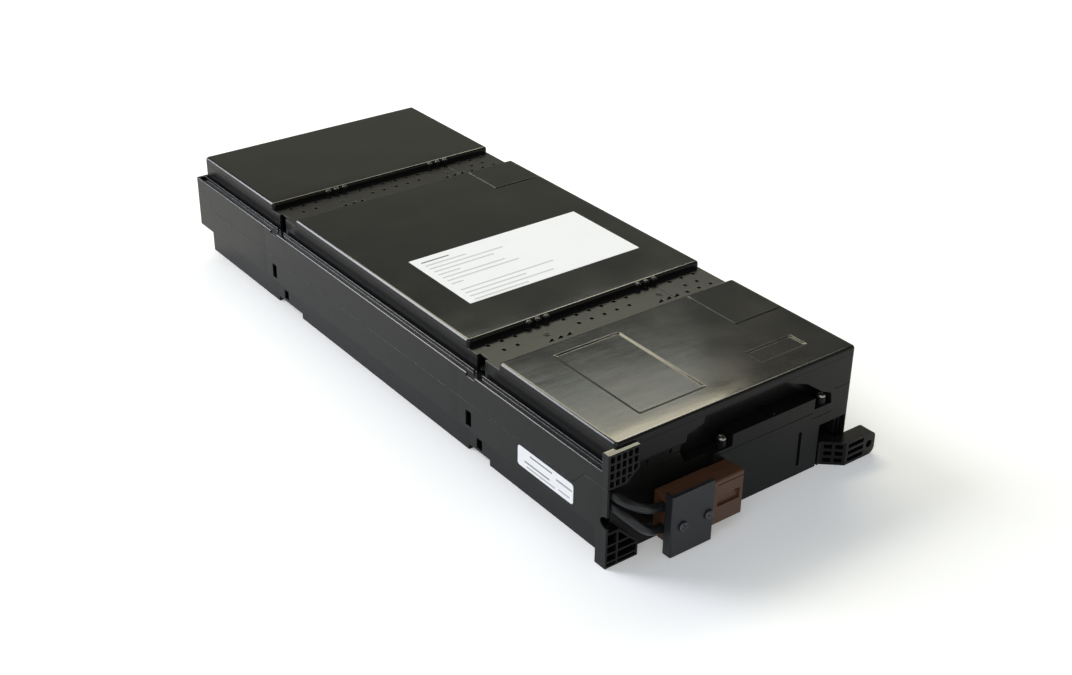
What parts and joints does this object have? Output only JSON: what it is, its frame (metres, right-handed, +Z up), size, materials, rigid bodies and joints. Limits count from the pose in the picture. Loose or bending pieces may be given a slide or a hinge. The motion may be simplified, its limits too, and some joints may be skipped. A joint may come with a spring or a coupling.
{
  "type": "ups battery cartridge",
  "caption": "Long flat battery cartridge: black moulded case with cross grooves, side lead duct, hand-hold, mounting ear and a brown plug on two leads; sealed blocks in series inside.",
  "frame": {"origin": "middle of the footprint of the case with its ear, on the surface that it lies on; the leads and the connector don't count", "axes": "+Z up, the connector end faces -Y, +Y along the case towards its plain rear end"},
  "size_m": [0.2118, 0.5113, 0.078],
  "materials": {
    "case_abs": "semi-gloss moulded",
    "battery_abs": "matt moulded",
    "tinned_brass": "tin plated",
    "clear_nylon": "smooth",
    "link_jacket": "smooth",
    "lead_jacket": "smooth",
    "connector_brown": "satin moulded",
    "strap_slate": "satin",
    "zinc_steel": "bright zinc",
    "label_vinyl": "plain white sticker"
  },
  "bodies": {
    "root": {"battery_1": "battery_abs", "battery_2": "battery_abs", "battery_3": "battery_abs", "battery_4": "battery_abs", "battery_5": "battery_abs", "battery_6": "battery_abs", "battery_7": "battery_abs", "battery_8": "battery_abs", "battery_terminals": "tinned_brass", "bottom_tray": "case_abs", "connector_contacts": "tinned_brass", "connector_housing": "connector_brown", "connector_strap": "strap_slate", "cover_screws": "zinc_steel", "link_1": "link_jacket", "link_2": "link_jacket", "link_3": "link_jacket", "link_4": "link_jacket", "link_5": "link_jacket", "link_6": "link_jacket", "link_7": "link_jacket", "mounting_ear": "case_abs", "negative_lead": "lead_jacket", "negative_lead_inner": "lead_jacket", "positive_lead": "lead_jacket", "positive_lead_inner": "lead_jacket", "side_label": "label_vinyl", "strap_screws": "zinc_steel", "terminal_sockets": "clear_nylon", "top_cover": "case_abs", "top_label": "label_vinyl"}
  },
  "joints": []
}
